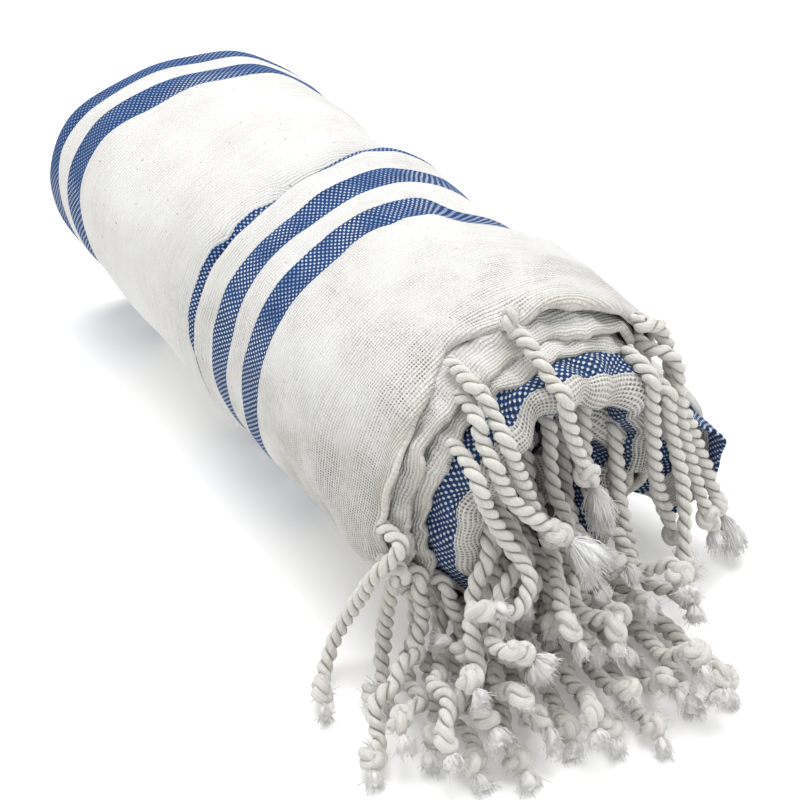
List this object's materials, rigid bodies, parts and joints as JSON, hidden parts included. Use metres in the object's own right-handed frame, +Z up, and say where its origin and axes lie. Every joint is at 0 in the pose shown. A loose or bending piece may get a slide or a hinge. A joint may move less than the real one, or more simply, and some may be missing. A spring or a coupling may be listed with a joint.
{
  "type": "hammam towel",
  "caption": "Flat-woven cotton bath towel, folded and rolled up, with blue stripes and knotted cord fringe hanging from one end.",
  "frame": {"origin": "on the roll's flat spot, at floor level, halfway along the rolled cloth and near its middle line", "axes": "+Z up, +Y along the roll away from its fringed end, +X to the right as seen from the fringed end, where the cloth's loose edge is"},
  "size_m": [0.1595, 0.3298, 0.1004],
  "materials": {
    "roll_cotton": "natural undyed cotton, plain weave with blue dobby stripes, matte",
    "cord_cotton": "natural undyed cotton yarn, two-ply twist, matte"
  },
  "bodies": {
    "root": {"towel_roll": "roll_cotton", "fringe_front_hem": "cord_cotton", "fringe_second_hem": "cord_cotton", "fringe_third_hem": "cord_cotton", "fringe_inner_hem": "cord_cotton", "fringe_core_hem": "cord_cotton"}
  },
  "joints": []
}
